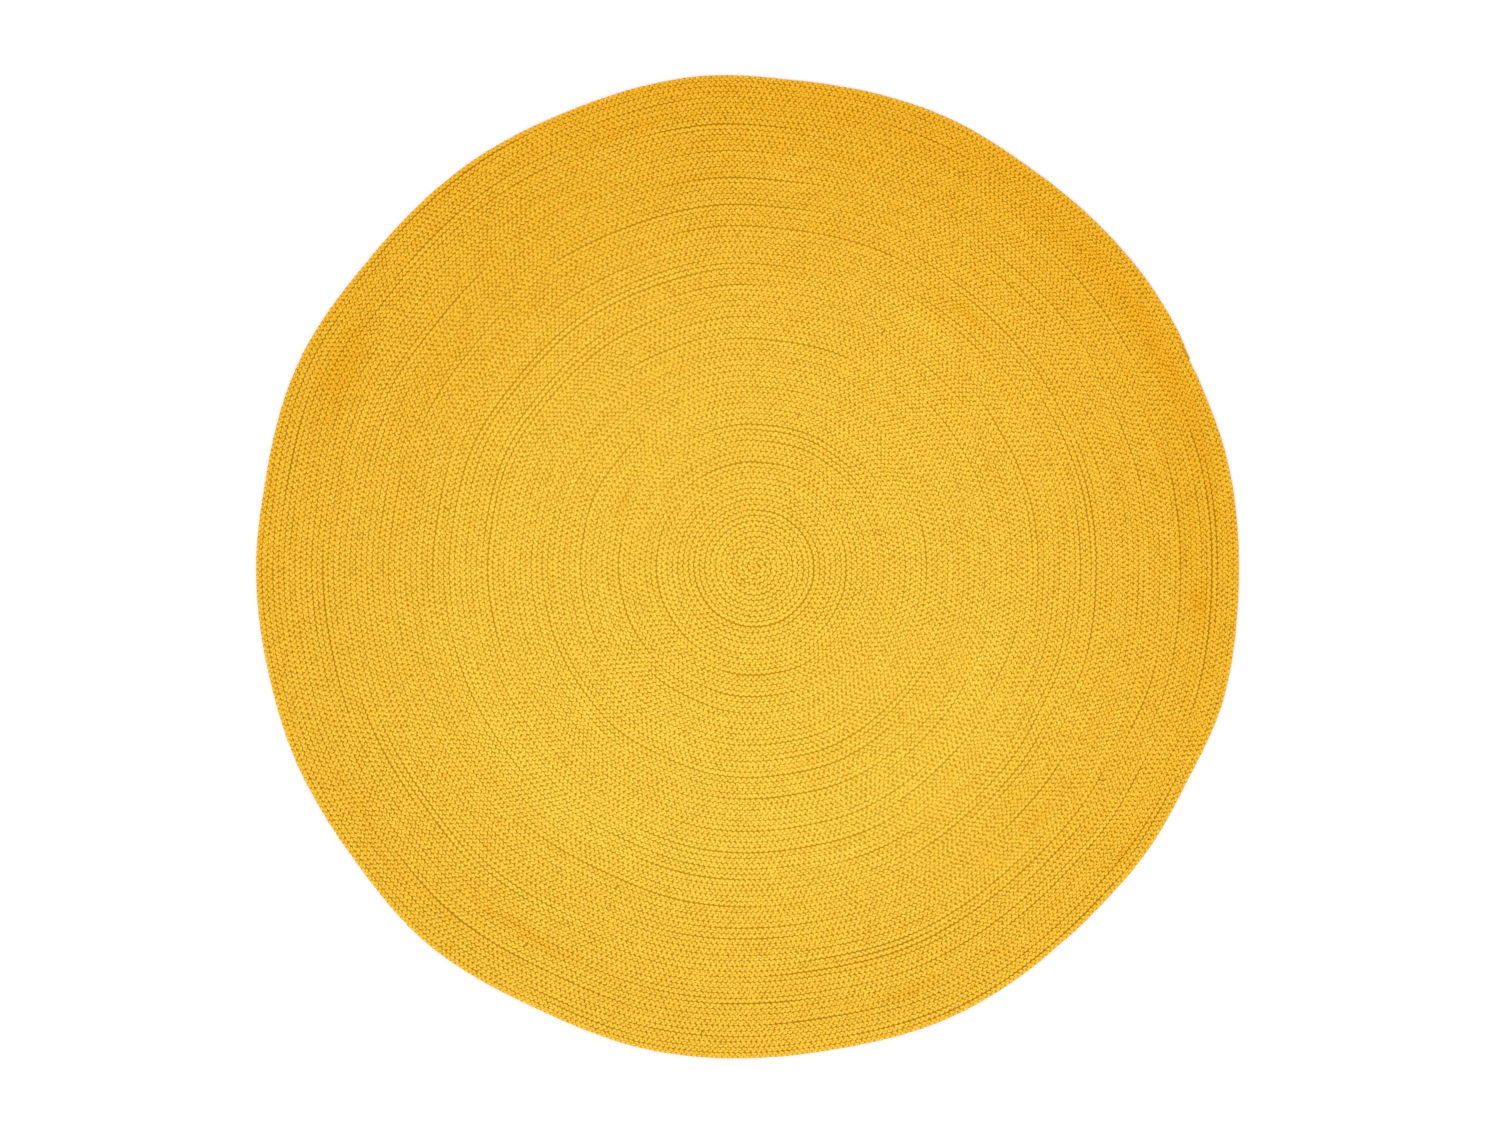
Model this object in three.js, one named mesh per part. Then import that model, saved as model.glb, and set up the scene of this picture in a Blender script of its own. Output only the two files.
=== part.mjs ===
// A round braided rug lying flat: a flat plait of three strands, coiled outwards from the middle and
// sewn edge to edge. Millimetres, +Z up, the origin in the middle of the underside.
// The braid is made in lengths joined end to end, and each length is a solid of its own here.
import * as THREE from "three";

// The rug
const RUG_DIAMETER = 1800;
const RUG_THICKNESS = 9;

// The braid
const BRAID_WIDTH = 9.85; // one turn of the coil lies this far outside the one before
const BRAID_LENGTHS = 10; // all as long as each other
const CLEARANCE = 0.3; // between pieces that touch

// The coil. Bearings are degrees counter-clockwise from +X, seen from above.
const TAIL_BEARING = 25.5; // where the braid ends; the coil grows clockwise up to there
const EYE = new THREE.Vector2(15, -0.5); // where the coil starts, a little off the rug's middle
const EDGE_CENTRE = new THREE.Vector2(1.4, -4); // the centre that its last turn is laid about

// The tail, where the braid's outer end is thinned and lies against the turn before it
const TAIL_TAPER_LENGTH = 60;
const TAIL_TIP_WIDTH = 4;

// The thread
const SEAM_WIDTH = 0.8;
const SEAM_INSET = 1; // the seam lies this far below the braid's top and above its underside
const TACK_LENGTH = 7;
const TACK_WIDTH = 1.2;
const TAIL_TACK_SETBACK = 14; // from the braid's outer end to its tack

// Where the rug's edge swells out (+) or draws in (-): bearing, and by how much.
const EDGE_LUMPS = [
  [12, 5.3],
  [22, 1],
  [29, -3.8],
  [36, -2.4],
  [54, -5.5],
  [67, 1],
  [84, -3],
  [96, 4.8],
  [111, 0.5],
  [122, 2.4],
  [141, -3.5],
  [156, 5.9],
  [171, -1],
  [180, 1.7],
  [193, -0.6],
  [202, 0.9],
  [216, -2.2],
  [229, 5],
  [245, -4.8],
  [259, 1.1],
  [279, -3.5],
  [294, 3.9],
  [316, -3.7],
  [325, -0.9],
  [333, -3],
  [345, 7],
  [358, 3.4],
];

// How finely curves are cut
const SAGITTA = 1; // the most that a straight step strays from its arc
const TAPER_STEPS = 6;

const YARN_COLOUR = "#ecb634";
const THREAD_COLOUR = "#d9a02b";

// The last turn's outer edge runs from TURNS braid widths out to TURNS + 1, so its mean is the rug's radius.
const TURNS = RUG_DIAMETER / 2 / BRAID_WIDTH - 0.5;

// How far the edge stands out at a bearing, easing from each lump to the next.
function edgeLump(bearing) {
  const at = THREE.MathUtils.euclideanModulo(bearing, 360);
  const next = EDGE_LUMPS.findIndex(([b]) => b > at);
  const [toBearing, to] = EDGE_LUMPS[Math.max(next, 0)];
  const [fromBearing, from] = EDGE_LUMPS.at(next - (next < 0 ? 0 : 1));
  const span = THREE.MathUtils.euclideanModulo(toBearing - fromBearing, 360);
  const along = THREE.MathUtils.euclideanModulo(at - fromBearing, 360) / span;
  return from + (to - from) * THREE.MathUtils.smoothstep(along, 0, 1);
}

// A point of the coil. `turn` says where along the coil it is, and so its bearing. `level` says how many
// braid widths out it is: a braid's inner edge has level = turn and its outer edge level = turn + 1.
function coilPoint(turn, level, outwards = 0) {
  const bearing = TAIL_BEARING + 360 * (TURNS - turn);
  const share = level / (TURNS + 1);
  const radius = BRAID_WIDTH * level + edgeLump(bearing) * share + outwards;
  const angle = THREE.MathUtils.degToRad(bearing);
  return EYE.clone()
    .lerp(EDGE_CENTRE, share * share)
    .add(new THREE.Vector2(Math.cos(angle), Math.sin(angle)).multiplyScalar(radius));
}

// The share of a turn that takes up `length` at this many braid widths out.
function turnsFor(length, level) {
  return length / (2 * Math.PI * BRAID_WIDTH * level);
}

// How many straight steps go once round the coil, this many braid widths out
function stepsRound(level) {
  return Math.ceil(Math.PI / Math.acos(1 - SAGITTA / (BRAID_WIDTH * level)));
}

// Points along the coil from one turn to another, `levelAbove` braid widths outside its inner edge.
function coilArc(from, to, levelAbove, outwards, steps) {
  return Array.from({ length: steps + 1 }, (_, i) => {
    const turn = from + ((to - from) * i) / steps;
    return coilPoint(turn, turn + levelAbove, outwards);
  });
}

// The outer edge of the last turn, which narrows to the tail's tip.
function rugEdge() {
  const taperFrom = TURNS - turnsFor(TAIL_TAPER_LENGTH, TURNS);
  const tip = TAIL_TIP_WIDTH / BRAID_WIDTH;
  const taper = Array.from({ length: TAPER_STEPS }, (_, i) => {
    const along = (i + 1) / TAPER_STEPS;
    const width = 1 + (tip - 1) * THREE.MathUtils.smoothstep(along, 0, 1);
    const turn = taperFrom + (TURNS - taperFrom) * along;
    return coilPoint(turn, turn + width);
  });
  return [...coilArc(TURNS - 1, taperFrom, 1, 0, stepsRound(TURNS)), ...taper];
}

// A straight slot along the radius for a bar tack, centred `levels` braid widths out.
function tackOutline(turn, levels, grow) {
  const centre = coilPoint(turn, levels);
  const outwards = coilPoint(turn, levels + 1).sub(centre).normalize();
  const across = new THREE.Vector2(-outwards.y, outwards.x);
  const corner = (along, aside) =>
    centre
      .clone()
      .addScaledVector(outwards, along * (TACK_LENGTH / 2 + grow))
      .addScaledVector(across, aside * (TACK_WIDTH / 2 + grow));
  return [corner(-1, -1), corner(1, -1), corner(1, 1), corner(-1, 1)];
}

// The turn at which braid length number i ends. The length of a coil goes with the square of its turns.
const endOfLength = (i) => TURNS * Math.sqrt(i / BRAID_LENGTHS);

// Half the gap between two braid lengths, where the seam between them runs
const HALF_SEAM_GAP = SEAM_WIDTH / 2 + CLEARANCE;

const TACKS = {
  centre_tack: { turn: 0.75, levels: 1.25, length: 1 },
  tail_tack: {
    turn: TURNS - turnsFor(TAIL_TACK_SETBACK, TURNS),
    levels: TURNS - turnsFor(TAIL_TACK_SETBACK, TURNS),
    length: BRAID_LENGTHS,
  },
};

// The outline of a braid length: its outer edge, the inner edge left open for the lengths within it,
// and a slot for each tack that goes through it.
function braidShape(number) {
  const start = endOfLength(number - 1);
  const end = endOfLength(number);
  const last = number === BRAID_LENGTHS;
  const endGap = turnsFor(CLEARANCE / 2, end);
  const outer = last
    ? rugEdge()
    : coilArc(end - 1 - endGap, end - endGap, 1, -HALF_SEAM_GAP, stepsRound(end));
  const shape = new THREE.Shape(outer);
  if (number > 1) {
    const startGap = turnsFor(CLEARANCE / 2, start);
    const inner = coilArc(start + startGap, start + 1 + startGap, 0, HALF_SEAM_GAP, stepsRound(start));
    shape.holes.push(new THREE.Path(inner.reverse()));
  }
  Object.values(TACKS)
    .filter((tack) => tack.length === number)
    .forEach((tack) => {
      shape.holes.push(new THREE.Path(tackOutline(tack.turn, tack.levels, CLEARANCE)));
    });
  return shape;
}

// The outline of the seam along the last turn of a braid length, between it and the next length.
function seamShape(number) {
  const end = endOfLength(number);
  const gap = turnsFor(CLEARANCE / 2, end);
  const edge = (outwards) => coilArc(end - 1 + gap, end - gap, 1, outwards, stepsRound(end));
  const inside = edge(-SEAM_WIDTH / 2);
  const outside = edge(SEAM_WIDTH / 2);
  return new THREE.Shape([...inside, ...outside.reverse()]);
}

function slab(name, shape, bottom, top, colour) {
  const geometry = new THREE.ExtrudeGeometry(shape, { depth: top - bottom, bevelEnabled: false });
  const material = new THREE.MeshStandardMaterial({ color: colour, roughness: 0.95, metalness: 0 });
  const mesh = new THREE.Mesh(geometry, material);
  mesh.name = name;
  mesh.position.z = bottom;
  return mesh;
}

const numbered = (name, i) => name + "_" + String(i).padStart(2, "0");

const rug = new THREE.Group();
for (let i = 1; i <= BRAID_LENGTHS; i += 1) {
  rug.add(slab(numbered("braid_length", i), braidShape(i), 0, RUG_THICKNESS, YARN_COLOUR));
  if (i < BRAID_LENGTHS) {
    const top = RUG_THICKNESS - SEAM_INSET;
    rug.add(slab(numbered("seam_thread", i), seamShape(i), SEAM_INSET, top, THREAD_COLOUR));
  }
}
for (const [name, tack] of Object.entries(TACKS)) {
  const outline = new THREE.Shape(tackOutline(tack.turn, tack.levels, 0));
  rug.add(slab(name, outline, SEAM_INSET, RUG_THICKNESS, THREAD_COLOUR));
}

export default rug;
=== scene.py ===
"""A round braided rug: a flat plait of three strands, coiled outwards from the middle and sewn edge to
edge with a zigzag seam. Metres, +Z up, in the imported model's frame."""

import math

import bpy
import numpy as np
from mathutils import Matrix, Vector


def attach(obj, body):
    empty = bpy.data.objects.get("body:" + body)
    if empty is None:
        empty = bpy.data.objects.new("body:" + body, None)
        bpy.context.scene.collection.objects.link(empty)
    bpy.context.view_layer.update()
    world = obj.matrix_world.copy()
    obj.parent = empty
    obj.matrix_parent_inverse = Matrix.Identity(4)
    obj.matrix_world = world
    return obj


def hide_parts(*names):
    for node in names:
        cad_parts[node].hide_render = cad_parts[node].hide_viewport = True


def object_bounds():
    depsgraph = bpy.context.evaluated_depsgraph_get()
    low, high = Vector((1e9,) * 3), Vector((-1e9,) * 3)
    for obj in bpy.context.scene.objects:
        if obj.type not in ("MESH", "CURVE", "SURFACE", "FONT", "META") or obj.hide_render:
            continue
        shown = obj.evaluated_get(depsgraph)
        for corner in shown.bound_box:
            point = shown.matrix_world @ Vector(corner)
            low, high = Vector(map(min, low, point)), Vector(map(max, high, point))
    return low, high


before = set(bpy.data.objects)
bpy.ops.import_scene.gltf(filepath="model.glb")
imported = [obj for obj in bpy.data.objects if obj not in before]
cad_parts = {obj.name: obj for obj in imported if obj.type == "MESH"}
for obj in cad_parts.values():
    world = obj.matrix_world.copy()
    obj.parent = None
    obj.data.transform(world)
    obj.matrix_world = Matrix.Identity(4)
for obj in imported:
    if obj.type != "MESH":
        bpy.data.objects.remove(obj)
cad_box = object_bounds()

# ---------------------------------------------------------------------------------------------- sizes

# The rug and its coil, as the CAD model has them. Bearings are degrees counter-clockwise from +X.
RUG_DIAMETER = 1.8
RUG_THICKNESS = cad_box[1].z - cad_box[0].z
BRAID_WIDTH = 0.00985
BRAID_LENGTHS = sum(name.startswith("braid_length_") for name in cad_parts)
TURNS = RUG_DIAMETER / 2 / BRAID_WIDTH - 0.5
TAIL_BEARING = 25.5
TAIL_TAPER_LENGTH = 0.060
TAIL_TIP_WIDTH = 0.004
EYE = (0.015, -0.0005)
EDGE_CENTRE = (0.0014, -0.004)
EDGE_LUMPS = [  # bearing, and how far the edge swells out there, in millimetres
    (12, 5.3), (22, 1), (29, -3.8), (36, -2.4), (54, -5.5), (67, 1), (84, -3), (96, 4.8), (111, 0.5),
    (122, 2.4), (141, -3.5), (156, 5.9), (171, -1), (180, 1.7), (193, -0.6), (202, 0.9), (216, -2.2),
    (229, 5), (245, -4.8), (259, 1.1), (279, -3.5), (294, 3.9), (316, -3.7), (325, -0.9), (333, -3),
    (345, 7), (358, 3.4),
]

# The plait
PLAIT_PERIOD = 0.0291  # along the braid, in which each strand goes once from edge to edge and back
STRAND_WIDTH = 0.0056
STRAND_HEIGHT = 0.0040
STRAND_SQUARENESS = 0.85  # 1 is an ellipse, and less is flatter on top and at the sides
STRAND_LAG = 0.10  # radians by which a strand is at its highest later than midway to the braid's edge
TURNS_PRESS = 0.0013  # how far each turn is pressed into the one before
SWING_ASIDE = (BRAID_WIDTH + TURNS_PRESS - STRAND_WIDTH) / 2
SWING_UP = (RUG_THICKNESS - STRAND_HEIGHT) / 2
SEAM_OPENING = 0.0018  # how far a turn's outer edge is drawn in, at most, where the seam gapes
FIRST_TURNS_EASE = 0.00025  # how much less the turns round the eye are pressed together, on either side
EASE_TURNS = (8, 24)  # from which turn that fades, and where it is gone
SWING_SQUARENESS = 0.12  # how much longer a strand stays out at the braid's edge than a sine wave does
STRAND_UNEVENNESS_LENGTH = 0.011  # over which one strand's thickness and lie change
STRAND_UNEVENNESS = {"slip": 0.16, "aside": 0.00022, "up": 0.00028, "size": 0.10, "tone": 0.16}
FLOOR_GAP = 0.0001  # strands are pressed flat no nearer to the floor than this
STEPS_PER_PERIOD = 12
STRAND_SIDES = 6
YARN_PLIES = 5
YARN_TWIST_LENGTH = 0.026  # in which the plies go once round the strand

# The first end of the braid, which is folded in to the eye
START_TURN = -0.80
CURL_LEVEL = 0.30  # how far from the eye the end curls round it, in braid widths
TUCK_TURNS = 0.45
TUCK_DEPTH = 0.0010
TUCK_NARROWING = 0.3

# How the rug lies on the floor
FLOOR_LIFT = 0.0003
SWELL_HEIGHT = 0.0012
SWELL_START = 0.45  # as a share of the rug's radius

# The fibre that fills the small gaps between strands, as one thin layer halfway up
WEB_THICKNESS = 0.0012
WEB_INSET = 0.0035
WEB_STEPS = 360
WEB_RINGS = (0.02, 0.5, 1)  # as shares of its radius

# Bar tacks
TACK_LENGTH = 0.007
TACK_WIDTH = 0.0018
TACK_STITCHES = 12
TACK_SIDES = 8
TAIL_TACK_FROM_END = 0.014
TAIL_TACK_TURN = TURNS - TAIL_TACK_FROM_END / (2 * math.pi * BRAID_WIDTH * TURNS)
TACKS = {"centre_tack": (0.75, 1.25), "tail_tack": (TAIL_TACK_TURN, TAIL_TACK_TURN)}  # turn, level

# The seam's threads
THREAD_DIAMETER = 0.0008
STITCH_STEP = 0.0085
STITCH_REACH = 0.0024  # from the seam to where the needle goes down, on either side
STITCH_TOP = 0.0028  # above the middle of the braid, where a stitch crosses the seam
STITCH_FOOT = 0.0012  # above the middle of the braid, where it goes down in the yarn
THREAD_SIDES = 3
SEAM_START_TURN = 0.9

# Colours, as red, green and blue light from 0 to 1
# The yarn's colour in the pits between strands is painted shade, and its top colour is where it stands proud
YARN_PAINTED_PIT_SHADE = (0.56, 0.32, 0.0, 1)
YARN_TOP = (0.99, 0.685, 0.085, 1)
# Where it is dullest is partly painted shade across the rug and along faint folds, partly the yarn's own
# uneven tone
YARN_DEEPENING = (0.914, 0.70, 0.25, 1)  # what the yarn's colour is multiplied by where it is dullest
# The fibre between the strands is deep in colour as painted shade, like the yarn in the pits; its tangle is
# its own
FIBRE_SHADED_DEEP = (0.46, 0.24, 0.0, 1)
FIBRE_SHADED_PALE = (0.80, 0.45, 0.015, 1)
# The thread is deep between its plies as painted shade and pale on their backs, streaked along its fibres
THREAD_DEEP = (0.78, 0.42, 0.012, 1)
THREAD_PALE = (0.93, 0.60, 0.050, 1)

# The studio
FLOOR_SIZE = 60
FLOOR_COLOUR = (0.9, 0.9, 0.9, 1)
SKY_STRENGTH = 1.0
SUN_STRENGTH = 0.80
SUN_SPREAD = 35  # degrees
SUN_TILT = (14, -10)  # degrees about X and about Y
LENS = 70
SENSOR = 36
RUG_SHARE_OF_FRAME = 0.65333  # how much of the picture's width the rug takes up
CAMERA_MIDDLE = (0.005, 0.0081)

SEED = 20


# ------------------------------------------------------------------------------------------- the coil

def smoothstep(x):
    x = np.clip(x, 0.0, 1.0)
    return x * x * (3.0 - 2.0 * x)


def smooth_noise(rng, along, scale):
    """A smooth random line, about -1 to 1, that changes over `scale` metres along the braid."""
    knots = rng.uniform(-1.0, 1.0, int(np.max(along) / scale) + 3)
    place = along / scale
    low = place.astype(int)
    return knots[low] + (knots[low + 1] - knots[low]) * smoothstep(place - low)


def edge_lump(bearing):
    """How far the rug's edge stands out at these bearings, in metres."""
    lumps = np.array(EDGE_LUMPS, float)
    bearings = np.concatenate([[lumps[-1, 0] - 360], lumps[:, 0], [lumps[0, 0] + 360]])
    heights = np.concatenate([[lumps[-1, 1]], lumps[:, 1], [lumps[0, 1]]]) / 1000
    at = np.mod(bearing, 360.0)
    i = np.clip(np.searchsorted(bearings, at, side="right") - 1, 0, len(bearings) - 2)
    share = (at - bearings[i]) / (bearings[i + 1] - bearings[i])
    return heights[i] + (heights[i + 1] - heights[i]) * smoothstep(share)


def coil_point(turn, level, outwards=0.0):
    """Points of the coil at these turns, `level` braid widths out from its centre."""
    bearing = TAIL_BEARING + 360.0 * (TURNS - turn)
    share = level / (TURNS + 1)
    radius = BRAID_WIDTH * level + edge_lump(bearing) * share + outwards
    angle = np.radians(bearing)
    centre = np.outer(1 - share**2, EYE) + np.outer(share**2, EDGE_CENTRE)
    return centre + radius[:, None] * np.stack([np.cos(angle), np.sin(angle)], axis=1)


def tuck(turn):
    """1 at the braid's first end, falling to 0 where the coil runs free."""
    return 1 - smoothstep((turn - START_TURN) / TUCK_TURNS)


def middle_level(turn):
    """How many braid widths out the braid's middle lies. The first end curls round the eye."""
    return np.maximum(turn + 0.5, CURL_LEVEL)


def along_coil():
    """Turns from the braid's start to its end, a degree apart, and the length of braid up to each."""
    turns = np.linspace(START_TURN, TURNS, int(TURNS * 360))
    points = coil_point(turns, middle_level(turns))
    steps = np.linalg.norm(np.diff(points, axis=0), axis=1)
    return turns, np.concatenate([[0.0], np.cumsum(steps)])


COIL_TURNS, COIL_LENGTHS = along_coil()
BRAID_TOTAL = float(COIL_LENGTHS[-1])


def turn_at(length):
    return np.interp(length, COIL_LENGTHS, COIL_TURNS)


def length_at(turn):
    return np.interp(turn, COIL_TURNS, COIL_LENGTHS)


def end_of_length(number):
    """The turn at which braid length `number` ends."""
    return TURNS * math.sqrt(number / BRAID_LENGTHS)


def outward_at(turn, level):
    """The unit vectors across the braid, away from the coil's centre."""
    step = 1e-3
    grows = np.where(turn + 0.5 < CURL_LEVEL, 0.0, step)
    run = coil_point(turn + step, level + grows) - coil_point(turn - step, level - grows)
    run /= np.linalg.norm(run, axis=1)[:, None]
    return np.stack([-run[:, 1], run[:, 0]], axis=1)


# ----------------------------------------------------------------------------------------- the meshes

def make_mesh(name, sections, along, values, uv):
    """A closed tube through `sections`, an array of rings of points, with a flat cap at each end.
    `along` is how far along it each ring is, in metres. `values` are named numbers for the material, one
    for each ring or one for each point. `uv` is the place of each face's corners in its UV map."""
    rings, sides, _ = sections.shape
    ring = np.arange(rings * sides).reshape(rings, sides)
    quads = np.stack(
        [ring[:-1], np.roll(ring[:-1], -1, axis=1), np.roll(ring[1:], -1, axis=1), ring[1:]], axis=-1
    ).reshape(-1, 4)
    caps = np.concatenate([ring[0, ::-1], ring[-1]])
    loops = np.concatenate([quads.ravel(), caps]).astype(np.int32)
    starts = np.concatenate([np.arange(len(quads)) * 4, len(quads) * 4 + np.array([0, sides])])
    mesh = bpy.data.meshes.new(name)
    mesh.vertices.add(rings * sides)
    mesh.vertices.foreach_set("co", sections.astype(np.float32).ravel())
    mesh.loops.add(len(loops))
    mesh.loops.foreach_set("vertex_index", loops)
    mesh.polygons.add(len(starts))
    mesh.polygons.foreach_set("loop_start", starts.astype(np.int32))
    smooth = np.ones(len(starts), bool)
    smooth[-2:] = False
    mesh.update(calc_edges=True)
    mesh.polygons.foreach_set("use_smooth", smooth)
    layer = mesh.uv_layers.new(name="OFBake")
    layer.uv.foreach_set("vector", uv.astype(np.float32).ravel())
    angle = 2 * math.pi * np.arange(sides) / sides
    values = {"along": along, "round_x": np.tile(np.cos(angle), (rings, 1)), **values}
    values["round_y"] = np.tile(np.sin(angle), (rings, 1))
    for value_name, value in values.items():
        value = np.broadcast_to(value.reshape(rings, -1), (rings, sides))
        attribute = mesh.attributes.new(value_name, "FLOAT", "POINT")
        attribute.data.foreach_set("value", value.astype(np.float32).ravel())
    mesh.validate()
    return mesh


def strip_uv(sections):
    """A tube's UV map, in which no two faces overlap: the tube is cut into strips of equal run, laid one
    above the other, and the caps lie in a row above them."""
    rings, sides, _ = sections.shape
    middle = sections.mean(axis=1)
    run = np.concatenate([[0.0], np.cumsum(np.linalg.norm(np.diff(middle, axis=0), axis=1))])
    girth = np.linalg.norm(sections[0] - np.roll(sections[0], 1, axis=0), axis=1).sum()
    strips = max(1, round(math.sqrt(run[-1] / girth)))
    strip = np.minimum((run[:-1] / run[-1] * strips).astype(int), strips - 1)
    left = np.searchsorted(strip, strip, side="left")
    right = np.searchsorted(strip, strip, side="right")
    width = (run[right] - run[left]).max()
    u0, u1 = (run[:-1] - run[left]) / width, (run[1:] - run[left]) / width
    side = np.arange(sides + 1) / sides
    u = 0.01 + 0.98 * np.stack([u0, u0, u1, u1], axis=-1)[:, None, :]
    v = np.stack([side[:-1], side[1:], side[1:], side[:-1]], axis=-1)[None]
    v = (strip[:, None, None] + 0.06 + 0.88 * v) / (strips + 1)
    flat = np.stack(np.broadcast_arrays(u, v), axis=-1).reshape(-1, 2)
    turn = 2 * math.pi * np.arange(sides) / sides
    cap = np.stack([np.cos(turn), np.sin(turn)], axis=1) * 0.4 / (strips + 1)
    caps = [cap[::-1] + [at / (strips + 1), (strips + 0.5) / (strips + 1)] for at in (0.5, 1.5)]
    return np.concatenate([flat, *caps])


def disc_uv(sections):
    """A disc's UV map: its top face on the left and its bottom face on the right, with its rim as a band
    round the top. The first half of `sections` is the top, and the second half is the bottom."""
    rings = sections[:, :, :2] / RUG_DIAMETER
    half = len(rings) // 2
    low, high = rings[:-1], rings[1:].copy()
    high[half - 1] = low[half - 1] * 1.03
    corners = np.stack([low, np.roll(low, -1, axis=1), np.roll(high, -1, axis=1), high], axis=2)
    scale, left, right = np.array([0.46, 0.94]), np.array([0.25, 0.5]), np.array([0.75, 0.5])
    top, bottom = corners[:half] * scale + left, corners[half:] * scale + right
    caps = [rings[0, ::-1] * scale + left, rings[-1] * scale + right]
    return np.concatenate([top.reshape(-1, 2), bottom.reshape(-1, 2), *caps])


def place(mesh, material, slot, replaced):
    piece = bpy.data.objects.new(mesh.name, mesh)
    bpy.context.scene.collection.objects.link(piece)
    mesh.materials.append(material)
    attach(piece, "root")
    if replaced:
        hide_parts(*replaced)
    return piece


def tube_sections(path, width, height, sides, squareness=1.0):
    """Elliptical rings round a path. The width lies level and the height stands up."""
    run = np.gradient(path, axis=0)
    run /= np.linalg.norm(run, axis=1)[:, None]
    up = np.array([0.0, 0.0, 1.0]) - run * run[:, 2:3]
    up /= np.linalg.norm(up, axis=1)[:, None]
    across = np.cross(up, run)
    angle = 2 * math.pi * np.arange(sides) / sides
    rise = np.sin(angle) / np.max(np.sin(angle))
    reach = np.sign(np.cos(angle)) * np.abs(np.cos(angle)) ** squareness
    aside = reach[None, :, None] * across[:, None, :] * (width / 2)[:, None, None]
    above = rise[None, :, None] * up[:, None, :] * (height / 2)[:, None, None]
    return path[:, None, :] + aside + above


# ------------------------------------------------------------------------------------------ the plait

def coil_wander():
    """Slow unevenness along the whole braid, sampled at every plait step: how far it strays outwards
    and upwards, where its outer edge is drawn in and the seam gapes (0 to 1), how far its crossings slip
    along it (radians), and its tone."""
    rng = np.random.default_rng(SEED)
    count = int(BRAID_TOTAL / PLAIT_PERIOD * STEPS_PER_PERIOD) + 1
    along = np.linspace(0.0, BRAID_TOTAL, count)
    gapes_above = 0.45
    return {
        "along": along,
        "outwards": 0.00012 * smooth_noise(rng, along, 0.05),
        "up": 0.00015 * smooth_noise(rng, along, 0.07),
        "drawn": np.clip(smooth_noise(rng, along, 0.30) - gapes_above, 0, 1) / (1 - gapes_above),
        "slip": 0.4 * smooth_noise(rng, along, 0.035) + 5.0 * smooth_noise(rng, along, 0.9),
        "tone": 0.05 * smooth_noise(rng, along, 0.12) + 0.05 * smooth_noise(rng, along, 1.7),
    }


WANDER = coil_wander()


def ground_swell(points):
    """How far the rug lifts off the floor. Towards its edge it doesn't lie quite flat."""
    x, y = points[:, 0], points[:, 1]
    radius = np.hypot(x, y) / (RUG_DIAMETER / 2)
    bearing = np.arctan2(y, x)
    waves = 1 + np.sin(3 * bearing + 0.7) * 0.5 + np.sin(7 * bearing + 2.1) * 0.5
    return FLOOR_LIFT + SWELL_HEIGHT * waves * smoothstep((radius - SWELL_START) / (1 - SWELL_START))


# Where the rug is duller (-) or brighter (+), partly painted shade along faint folds and partly its own
# patchy tone: bearing, how far out as a share of the radius, length along the turns and width across them
# in metres, and by how much
TONE_PATCHES = [
    (155, 0.93, 0.16, 0.05, -0.35), (140, 0.75, 0.50, 0.12, -0.12), (50, 0.67, 0.09, 0.010, -0.35),
    (118, 0.62, 0.22, 0.012, 0.16), (62, 0.60, 0.30, 0.014, 0.14), (84, 0.61, 0.16, 0.012, -0.22),
    (355, 0.91, 0.06, 0.020, -0.40), (238, 0.88, 0.18, 0.016, -0.32), (322, 0.95, 0.07, 0.016, -0.30),
    (290, 0.92, 0.07, 0.012, -0.35), (265, 0.22, 0.05, 0.008, -0.45), (153, 0.30, 0.05, 0.010, -0.40),
    (225, 0.62, 0.40, 0.05, 0.18), (300, 0.55, 0.40, 0.08, 0.12), (335, 0.50, 0.20, 0.05, 0.10),
    (105, 0.93, 0.10, 0.008, -0.32), (318, 0.77, 0.05, 0.010, -0.35), (30, 0.93, 0.45, 0.03, -0.20),
    (10, 0.88, 0.30, 0.020, -0.18), (100, 0.80, 0.08, 0.010, -0.35), (220, 0.95, 0.30, 0.03, -0.15),
    (0, 0.00, 0.03, 0.020, -0.30),
]


def painted_shade_and_tone_at(points):
    """How bright the yarn is, about -1 to 1: duller towards the edge, painted shade towards the far side, and
    in patches.
    """
    x, y = (points - np.array(EYE)).T
    radius = np.hypot(x, y)
    out = radius / (RUG_DIAMETER / 2)
    bearing = np.degrees(np.arctan2(y, x))
    towards_edge = np.clip(out - 0.35, 0, 1) ** 1.5
    # Painted shade: a gradient across the rug, darker towards one side, as light falling from the other side
    # would give
    painted_shade_side = np.sin(np.radians(bearing + 20)) * out
    tone = 0.18 - 0.92 * towards_edge - 0.27 * painted_shade_side
    for at, share, length, width, strength in TONE_PATCHES:
        turned = np.radians((bearing - at + 180) % 360 - 180)
        along, across = turned * radius / length, (out - share) * (RUG_DIAMETER / 2) / width
        tone = tone + strength * np.exp(-2 * (along**2 + across**2))
    return tone


def tail_taper(along):
    """1 along the braid, falling to the tip's share of its width at the tail."""
    share = np.clip((BRAID_TOTAL - along) / TAIL_TAPER_LENGTH, 0, 1)
    tip = TAIL_TIP_WIDTH / BRAID_WIDTH
    return tip + (1 - tip) * smoothstep(share)


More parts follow.
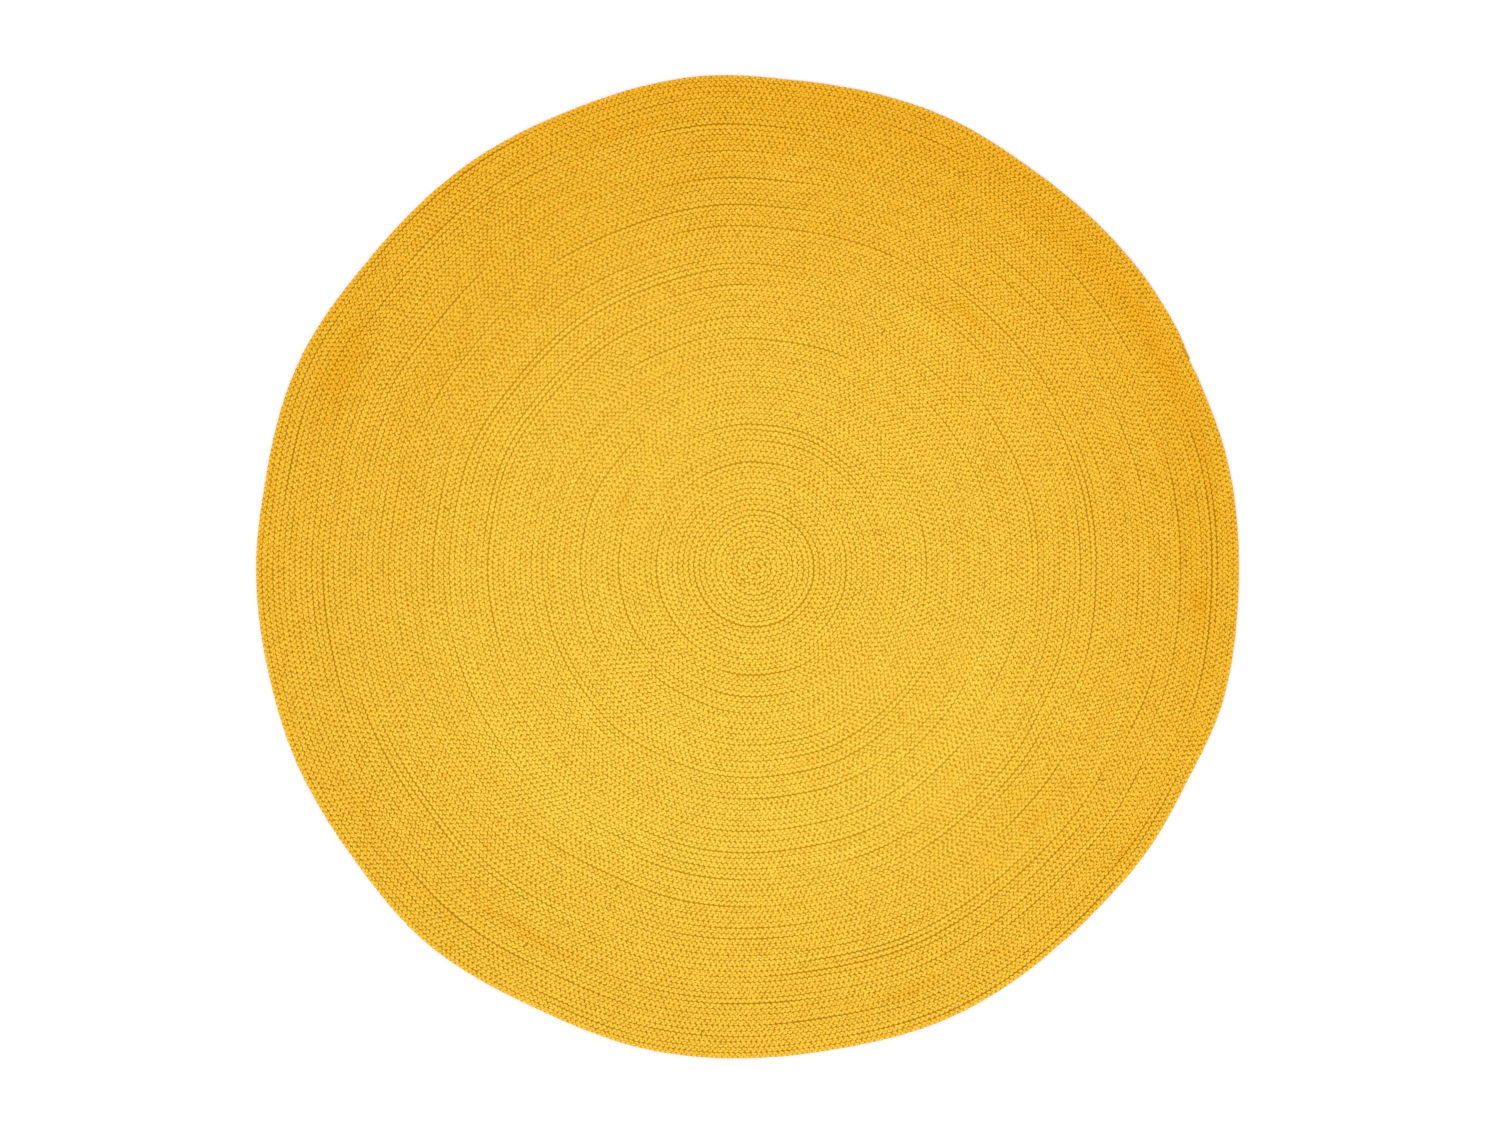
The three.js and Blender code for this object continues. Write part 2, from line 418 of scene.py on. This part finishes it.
def strand_path(number, strand):
    """The path of one strand along one braid length, its width and height, and its tone."""
    low = length_at(end_of_length(number - 1)) if number > 1 else 0.0
    high = length_at(end_of_length(number))
    pick = slice(*np.searchsorted(WANDER["along"], [low - 1e-9, high + 1e-9]))
    along = WANDER["along"][pick]
    phase = along * 2 * math.pi / PLAIT_PERIOD + WANDER["slip"][pick] + strand * 2 * math.pi / 3
    turn = turn_at(along)
    taper = tail_taper(along) * (1 - TUCK_NARROWING * tuck(turn))
    level = middle_level(turn)
    rng = np.random.default_rng([SEED, number, strand])
    uneven = {
        name: amount * smooth_noise(rng, along - along[0], STRAND_UNEVENNESS_LENGTH)
        for name, amount in STRAND_UNEVENNESS.items()
    }
    drawn_in = SEAM_OPENING / 2 * WANDER["drawn"][pick]
    eased = 1 - smoothstep((turn - EASE_TURNS[0]) / (EASE_TURNS[1] - EASE_TURNS[0]))
    reach = SWING_ASIDE - drawn_in - FIRST_TURNS_EASE * eased
    swing = (np.sin(phase) + SWING_SQUARENESS * np.sin(3 * phase)) / (1 - SWING_SQUARENESS)
    squeeze = (1 - tail_taper(along)) * BRAID_WIDTH / 2
    aside = reach * swing * taper - drawn_in + WANDER["outwards"][pick] - squeeze + uneven["aside"]
    rise = np.sin(2 * (phase + uneven["slip"]) - STRAND_LAG)
    up = SWING_UP * rise * taper + WANDER["up"][pick] + uneven["up"]
    flat = coil_point(turn, level) + outward_at(turn, level) * aside[:, None]
    z = RUG_THICKNESS / 2 + up + ground_swell(flat) - TUCK_DEPTH * tuck(turn)
    path = np.concatenate([flat, z[:, None]], axis=1)
    width = STRAND_WIDTH * taper * (1 + uneven["size"])
    height = STRAND_HEIGHT * (0.55 + 0.45 * taper) * (1 + uneven["size"])
    tone = painted_shade_and_tone_at(flat) + WANDER["tone"][pick] + uneven["tone"]
    return along, path, width, height, tone


def build_strands(material):
    """Three strands for each length of the braid, plaited round each other."""
    made = []
    for number in range(1, BRAID_LENGTHS + 1):
        node = f"braid_length_{number:02d}"
        for strand, letter in enumerate("abc"):
            along, path, width, height, tone = strand_path(number, strand)
            sections = tube_sections(path, width, height, STRAND_SIDES, STRAND_SQUARENESS)
            sections[:, :, 2] = np.maximum(sections[:, :, 2], FLOOR_GAP)
            values = {"tone": tone, "crown": crown(sections)}
            mesh = make_mesh(f"{node}_strand_{letter}", sections, along, values, strip_uv(sections))
            made.append(place(mesh, material, "braid_yarn", [node]))
    return made


def crown(sections):
    """1 on the rug's two faces, falling to 0 halfway between them; low values carry painted shade in the
    pits.
    """
    middle = RUG_THICKNESS / 2 + ground_swell(sections[:, 0, :2])
    return np.clip(np.abs(sections[:, :, 2] - middle[:, None]) / (RUG_THICKNESS / 2), 0, 1)


def build_web(material):
    """The thin layer of fibre halfway up, which closes the gaps that the strands leave."""
    bearing = np.linspace(0, 360, WEB_STEPS, endpoint=False)
    turn = TURNS - np.mod(bearing - TAIL_BEARING, 360) / 360
    edge = coil_point(turn, turn + tail_taper(length_at(turn)), -WEB_INSET)
    rings = [edge.mean(axis=0) * (1 - share) + edge * share for share in WEB_RINGS]
    flat = np.stack(rings + rings[::-1])
    above = np.repeat([1, -1], len(rings))[:, None] * WEB_THICKNESS / 2
    z = above + RUG_THICKNESS / 2 + np.stack([ground_swell(ring) for ring in flat])
    sections = np.concatenate([flat, z[:, :, None]], axis=2)[:, ::-1]
    mesh = make_mesh("braid_web", sections, np.zeros(len(sections)), {}, disc_uv(sections))
    web = place(mesh, material, "braid_yarn", [])


# ----------------------------------------------------------------------------------------- the thread

def build_seam(material):
    """The zigzag that joins each turn to the one before: the needle's thread on top of the rug and the
    bobbin's underneath. Each stitch arches over the seam and goes down into the yarn on either side."""
    steps = 2 * int(BRAID_TOTAL / STITCH_STEP)
    along = np.arange(steps) * STITCH_STEP / 2
    turn = turn_at(along)
    side = np.tile([-1.0, 0.0, 1.0, 0.0], steps // 4 + 1)[:steps]
    height = np.where(side == 0, STITCH_TOP, STITCH_FOOT)
    seam = coil_point(turn, turn) + outward_at(turn, turn) * (side * STITCH_REACH)[:, None]
    made = []
    for name, up in (("needle_thread", 1), ("bobbin_thread", -1)):
        for number in range(1, BRAID_LENGTHS + 1):
            low, high = max(end_of_length(number - 1), SEAM_START_TURN), end_of_length(number)
            pick = (turn >= low) & (turn <= high)
            z = RUG_THICKNESS / 2 + up * height[pick] + ground_swell(seam[pick])
            path = np.concatenate([seam[pick], z[:, None]], axis=1)
            size = np.full(len(path), THREAD_DIAMETER)
            sections = tube_sections(path, size, size, THREAD_SIDES)
            mesh = make_mesh(f"{name}_{number:02d}", sections, along[pick], {}, strip_uv(sections))
            replaced = [f"seam_thread_{number - 1:02d}"] if number > 1 else []
            made.append(place(mesh, material, "seam_thread", replaced))
    return made


def build_tack(name, material):
    """A bar tack: close zigzag stitches in a row along the radius, over a few turns."""
    turn, level = np.array(TACKS[name])[:, None]
    middle, outer = coil_point(turn, level)[0], coil_point(turn, level + 1)[0]
    outwards = (outer - middle) / np.linalg.norm(outer - middle)
    across = np.array([-outwards[1], outwards[0]])
    step = np.arange(TACK_STITCHES * 4 + 1)
    along = (step / step[-1] - 0.5) * TACK_LENGTH
    side = np.sin(step * math.pi / 2) * (TACK_WIDTH - THREAD_DIAMETER) / 2
    flat = middle + along[:, None] * outwards + side[:, None] * across
    z = RUG_THICKNESS - THREAD_DIAMETER * (1.15 + 0.5 * np.cos(step * math.pi)) + ground_swell(flat)
    path = np.concatenate([flat, z[:, None]], axis=1)
    size = np.full(len(path), THREAD_DIAMETER)
    sections = tube_sections(path, size, size, TACK_SIDES)
    mesh = make_mesh(f"{name}_thread", sections, step * 0.001, {}, strip_uv(sections))
    return place(mesh, material, "seam_thread", [name])


# -------------------------------------------------------------------------------------- the materials

def math_node(nodes, links, operation, *values):
    """A Math node. Each value is a number or another node's output."""
    node = nodes.new("ShaderNodeMath")
    node.operation = operation
    for socket, value in zip(node.inputs, values):
        if isinstance(value, (int, float)):
            socket.default_value = value
        else:
            links.new(value, socket)
    return node.outputs["Value"]


def attribute_node(nodes, name):
    node = nodes.new("ShaderNodeAttribute")
    node.attribute_name = name
    return node.outputs["Fac"]


def noise_node(nodes, links, where, scale, detail, roughness=0.5, distortion=0.0):
    """A Noise Texture's value, mostly 0.35 to 0.65, at the places that another node's output gives."""
    node = nodes.new("ShaderNodeTexNoise")
    node.inputs["Scale"].default_value = scale
    node.inputs["Detail"].default_value = detail
    node.inputs["Roughness"].default_value = roughness
    node.inputs["Distortion"].default_value = distortion
    links.new(where, node.inputs["Vector"])
    return node.outputs["Fac"]


def object_noise(nodes, links, scale, detail, distortion=0.0):
    """Noise that lies still in the rug, with about `scale` swells to the metre."""
    where = nodes.new("ShaderNodeTexCoord").outputs["Object"]
    return noise_node(nodes, links, where, scale, detail, distortion=distortion)


def mix_colours(nodes, links, share, first, second, blend="MIX"):
    """From `first` at 0 to `second` at 1. Each is a colour or another node's output."""
    node = nodes.new("ShaderNodeMix")
    node.data_type = "RGBA"
    node.blend_type = blend
    links.new(share, node.inputs["Factor"])
    for socket, colour in ((node.inputs["A"], first), (node.inputs["B"], second)):
        if isinstance(colour, tuple):
            socket.default_value = colour
        else:
            links.new(colour, socket)
    return node.outputs["Result"]


def twist_pattern(nodes, links, plies, twist_length, fineness):
    """Plies twisted round a strand, 0 between them to 1 on their backs, and the fibres along them, 0 to 1."""
    along = attribute_node(nodes, "along")
    round_x, round_y = attribute_node(nodes, "round_x"), attribute_node(nodes, "round_y")
    round_it = math_node(nodes, links, "ARCTAN2", round_y, round_x)
    angle = math_node(nodes, links, "MULTIPLY_ADD", along, 2 * math.pi / twist_length, round_it)
    wave = math_node(nodes, links, "SINE", math_node(nodes, links, "MULTIPLY", angle, plies / 2))
    backs = math_node(nodes, links, "ABSOLUTE", wave)
    where = nodes.new("ShaderNodeCombineXYZ")
    links.new(math_node(nodes, links, "COSINE", angle), where.inputs["X"])
    links.new(math_node(nodes, links, "SINE", angle), where.inputs["Y"])
    links.new(math_node(nodes, links, "MULTIPLY", along, fineness), where.inputs["Z"])
    return backs, noise_node(nodes, links, where.outputs["Vector"], 3.0, 3.0, roughness=0.6)


def add_relief(nodes, links, shader, height, depth):
    """Bump, `depth` metres deep, from a height of 0 to 1."""
    bump = nodes.new("ShaderNodeBump")
    bump.inputs["Strength"].default_value = 0.8
    bump.inputs["Distance"].default_value = depth
    links.new(height, bump.inputs["Height"])
    links.new(bump.outputs["Normal"], shader.inputs["Normal"])


def new_material(name, roughness, gloss):
    """A material, with its nodes, their links and its shader."""
    material = bpy.data.materials.new(name)
    material.use_nodes = True
    nodes, links = material.node_tree.nodes, material.node_tree.links
    shader = nodes["Principled BSDF"]
    shader.inputs["Roughness"].default_value = roughness
    shader.inputs["Specular IOR Level"].default_value = gloss
    return material, nodes, links, shader


def unshaded_share(nodes, links):
    """0 in the pits between strands, which is painted shade there, rising to the top's share of the pale
    colour where yarn stands proud.
    """
    node = nodes.new("ShaderNodeMapRange")
    node.inputs["From Min"].default_value = 0.25
    node.inputs["From Max"].default_value = 0.70
    node.inputs["To Max"].default_value = 0.80
    links.new(attribute_node(nodes, "crown"), node.inputs["Value"])
    return node.outputs["Result"]


def yarn_material():
    """Soft spun cotton. It is pale where it stands proud, with painted shade deep in the pits and between its
    plies; it shows its fibres and flecks, and it is more orange where the rug is duller, partly as painted
    shade."""
    material, nodes, links, shader = new_material("mustard_yarn", 0.92, 0.05)
    shader.inputs["Sheen Weight"].default_value = 0.02
    shader.inputs["Sheen Roughness"].default_value = 0.4
    shader.inputs["Sheen Tint"].default_value = (1, 0.8, 0.4, 1)
    plies, fibres = twist_pattern(nodes, links, YARN_PLIES, YARN_TWIST_LENGTH, 260)
    flecks = object_noise(nodes, links, 400, 1.0)
    # Painted shade: the yarn deepens to the pit colour in the pits between strands, where shade falls
    pale = unshaded_share(nodes, links)
    # The plies darken the colour between them, painted shade in the twist's grooves; fibres and flecks are
    # the yarn's own uneven tone
    for pattern, middle, amount in ((fibres, 0.5, 0.70), (plies, 0.633, 0.60), (flecks, 0.5, 0.80)):
        swing = math_node(nodes, links, "SUBTRACT", pattern, middle)
        pale = math_node(nodes, links, "MULTIPLY_ADD", swing, amount, pale)
    colour = mix_colours(nodes, links, pale, YARN_PAINTED_PIT_SHADE, YARN_TOP)
    # The tone attribute carries painted shade across the rug and along faint folds, with the yarn's own
    # uneven tone
    dullness = math_node(nodes, links, "SUBTRACT", 0.38, attribute_node(nodes, "tone"))
    colour = mix_colours(nodes, links, dullness, colour, YARN_DEEPENING, "MULTIPLY")
    links.new(colour, shader.inputs["Base Color"])
    relief = math_node(nodes, links, "MULTIPLY_ADD", fibres, 0.5, plies)
    add_relief(nodes, links, shader, relief, 0.00045)
    return material


def fibre_material():
    """Matted cotton fibre between the strands, deep in colour as painted shade like the yarn's pits, and
    tangled.
    """
    material, nodes, links, shader = new_material("matted_fibre", 0.95, 0.05)
    tangle = object_noise(nodes, links, 900, 4.0, distortion=1.5)
    links.new(mix_colours(nodes, links, tangle, FIBRE_SHADED_DEEP, FIBRE_SHADED_PALE), shader.inputs["Base Color"])
    add_relief(nodes, links, shader, tangle, 0.0006)
    return material


def thread_material():
    """Three-ply sewing thread, a little shinier than the yarn."""
    material, nodes, links, shader = new_material("seam_thread", 0.7, 0.1)
    plies, fibres = twist_pattern(nodes, links, 3, 0.0022, 900)
    # Painted shade between the plies, streaked along the fibres
    share = math_node(nodes, links, "MULTIPLY", plies, fibres)
    links.new(mix_colours(nodes, links, share, THREAD_DEEP, THREAD_PALE), shader.inputs["Base Color"])
    add_relief(nodes, links, shader, plies, 0.0001)
    return material


# ------------------------------------------------------------------------------------------ the stage

def build_floor():
    bpy.ops.mesh.primitive_plane_add(size=FLOOR_SIZE, location=(0, 0, cad_box[0].z))
    floor = bpy.context.object
    floor.name = "floor"
    material, _, _, shader = new_material("pale_floor", 0.9, 0.0)
    shader.inputs["Base Color"].default_value = FLOOR_COLOUR
    floor.data.materials.append(material)


def build_light():
    """A white studio all round, and a wide soft light from above."""
    world = bpy.data.worlds.new("studio")
    bpy.context.scene.world = world
    world.use_nodes = True
    world.node_tree.nodes["Background"].inputs["Color"].default_value = (1, 1, 1, 1)
    world.node_tree.nodes["Background"].inputs["Strength"].default_value = SKY_STRENGTH
    sun = bpy.data.lights.new("soft_key", "SUN")
    sun.energy = SUN_STRENGTH
    sun.angle = math.radians(SUN_SPREAD)
    key = bpy.data.objects.new("soft_key", sun)
    key.rotation_euler = (math.radians(SUN_TILT[0]), math.radians(SUN_TILT[1]), 0)
    bpy.context.scene.collection.objects.link(key)
    bpy.context.scene.view_settings.view_transform = "Standard"


def build_camera():
    """Straight down on the rug, a little off its middle."""
    data = bpy.data.cameras.new("camera")
    data.lens, data.sensor_width = LENS, SENSOR
    data.clip_end = 200
    camera = bpy.data.objects.new("camera", data)
    frame_width = RUG_DIAMETER / RUG_SHARE_OF_FRAME
    camera.location = (*CAMERA_MIDDLE, frame_width * LENS / SENSOR)
    bpy.context.scene.collection.objects.link(camera)
    bpy.context.scene.camera = camera


build_camera()
build_floor()
build_light()
yarn = yarn_material()
thread = thread_material()
sewn = build_strands(yarn) + build_seam(thread) + [build_tack(name, thread) for name in TACKS]
build_web(fibre_material())
